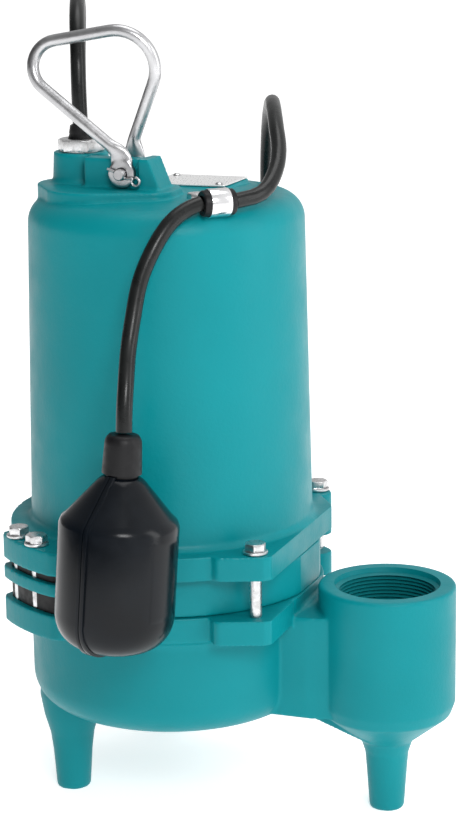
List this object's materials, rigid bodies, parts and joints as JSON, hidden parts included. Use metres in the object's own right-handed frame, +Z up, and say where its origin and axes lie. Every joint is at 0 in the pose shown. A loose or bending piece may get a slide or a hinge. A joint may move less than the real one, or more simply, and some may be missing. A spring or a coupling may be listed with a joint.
{
  "type": "submersible sump pump",
  "caption": "Cast submersible sump pump on tripod feet with a side discharge, bail handle, tethered float switch and two free power cords.",
  "frame": {"origin": "on the floor, under the middle of the pump body and float, cords left out", "axes": "+Z up the motor shaft, +X from the motor shaft towards the discharge port"},
  "size_m": [0.344, 0.4872, 0.4776],
  "materials": {
    "painted_casting": "satin teal enamel over sand-cast iron",
    "stainless": "brushed",
    "zinc_fastener": "bright zinc",
    "bright_plate": "satin",
    "bearing_steel": "ground",
    "black_rubber": "satin",
    "black_plastic": "satin",
    "copper_winding": "varnished",
    "laminate": "bare",
    "cast_impeller": "bare",
    "seal_face": "lapped",
    "capacitor_shell": "matte",
    "brass_contact": "bright"
  },
  "bodies": {
    "casing": {"casing_bolt_1": "zinc_fastener", "casing_bolt_2": "zinc_fastener", "casing_bolt_3": "zinc_fastener", "casing_bolt_4": "zinc_fastener", "clamp_band": "bright_plate", "clamp_cushion": "black_rubber", "clamp_screw": "zinc_fastener", "clevis_pin": "stainless", "cotter_pin": "stainless", "float_cord": "black_rubber", "float_cord_coil": "black_rubber", "float_cord_tie": "black_plastic", "gland_bushing": "black_rubber", "gland_nut": "zinc_fastener", "housing_o_ring": "black_rubber", "lower_bearing_outer": "bearing_steel", "motor_housing": "painted_casting", "nameplate": "bright_plate", "nameplate_rivet_1": "zinc_fastener", "nameplate_rivet_2": "zinc_fastener", "piggyback_plug_blade_1": "brass_contact", "piggyback_plug_blade_2": "brass_contact", "piggyback_plug_body": "black_rubber", "piggyback_plug_ground_pin": "brass_contact", "plate_screw_1": "zinc_fastener", "plate_screw_2": "zinc_fastener", "power_cord": "black_rubber", "power_cord_coil": "black_rubber", "power_cord_tie": "black_plastic", "power_plug_blade_1": "brass_contact", "power_plug_blade_2": "brass_contact", "power_plug_body": "black_rubber", "power_plug_ground_pin": "brass_contact", "run_capacitor": "capacitor_shell", "seal_plate": "painted_casting", "seal_seat": "seal_face", "stator_core": "laminate", "stator_winding_lower": "copper_winding", "stator_winding_upper": "copper_winding", "thermal_protector": "capacitor_shell", "upper_bearing_outer": "bearing_steel", "volute_casing": "painted_casting", "volute_gasket": "painted_casting"},
    "rotor": {"motor_shaft": "stainless", "rotor_core": "laminate", "upper_bearing_inner": "bearing_steel", "lower_bearing_inner": "bearing_steel", "seal_head": "bearing_steel", "seal_spring": "stainless", "impeller": "cast_impeller", "impeller_nut": "zinc_fastener"},
    "handle": {"lifting_handle": "stainless"},
    "float": {"float_shell_front": "black_plastic", "float_shell_rear": "black_plastic", "float_neck_boot": "black_rubber", "switch_capsule": "black_plastic", "float_tether": "black_rubber"},
    "ball": {"switch_ball": "stainless"}
  },
  "joints": [
    {"name": "rotor_spin", "type": "hinge", "parent": "casing", "child": "rotor", "pos_m": [-0.0393, 0.0341, 0.13], "axis": [0, 0, 1], "continuous": true},
    {"name": "handle_swing", "type": "hinge", "parent": "casing", "child": "handle", "pos_m": [-0.0509, 0.0061, 0.3805], "axis": [0, 1, 0], "range_deg": [-18, 32]},
    {"name": "float_swing", "type": "hinge", "parent": "casing", "child": "float", "pos_m": [0.0072, -0.0302, 0.3694], "axis": [-0.729, -0.6845, 0], "range_deg": [0, 100]},
    {"name": "switch_ball_roll", "type": "slide", "parent": "float", "child": "ball", "axis": [0.0575, 0.0523, 0.997], "range_m": [0, 0.03]}
  ]
}
